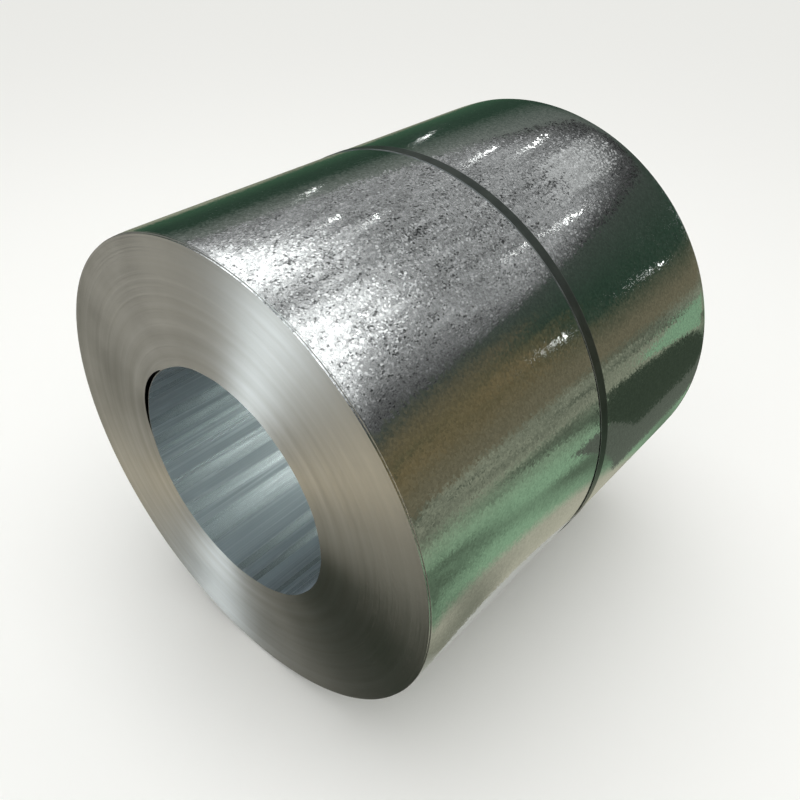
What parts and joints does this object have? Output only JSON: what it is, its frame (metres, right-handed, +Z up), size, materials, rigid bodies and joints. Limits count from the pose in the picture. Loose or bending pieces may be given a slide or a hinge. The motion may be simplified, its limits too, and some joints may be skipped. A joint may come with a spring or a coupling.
{
  "type": "steel coil",
  "caption": "Tightly wound coil of galvanised steel strip lying on its side, with an open bore for a mandrel or hook, held by a flat steel strap with a crimped seal.",
  "frame": {"origin": "on the floor, under the middle of the coil's box", "axes": "+Y along the coil's axis from the pictured end to the far end, +Z up"},
  "size_m": [1.0178, 1.007, 1.0178],
  "materials": {
    "galvanised_steel": "hot-dip galvanised with a fine spangle, slit edges on the ends",
    "blued_steel": "blued and waxed, satin"
  },
  "bodies": {
    "root": {"coil": "galvanised_steel", "strap": "blued_steel", "strap_seal": "blued_steel"}
  },
  "joints": []
}
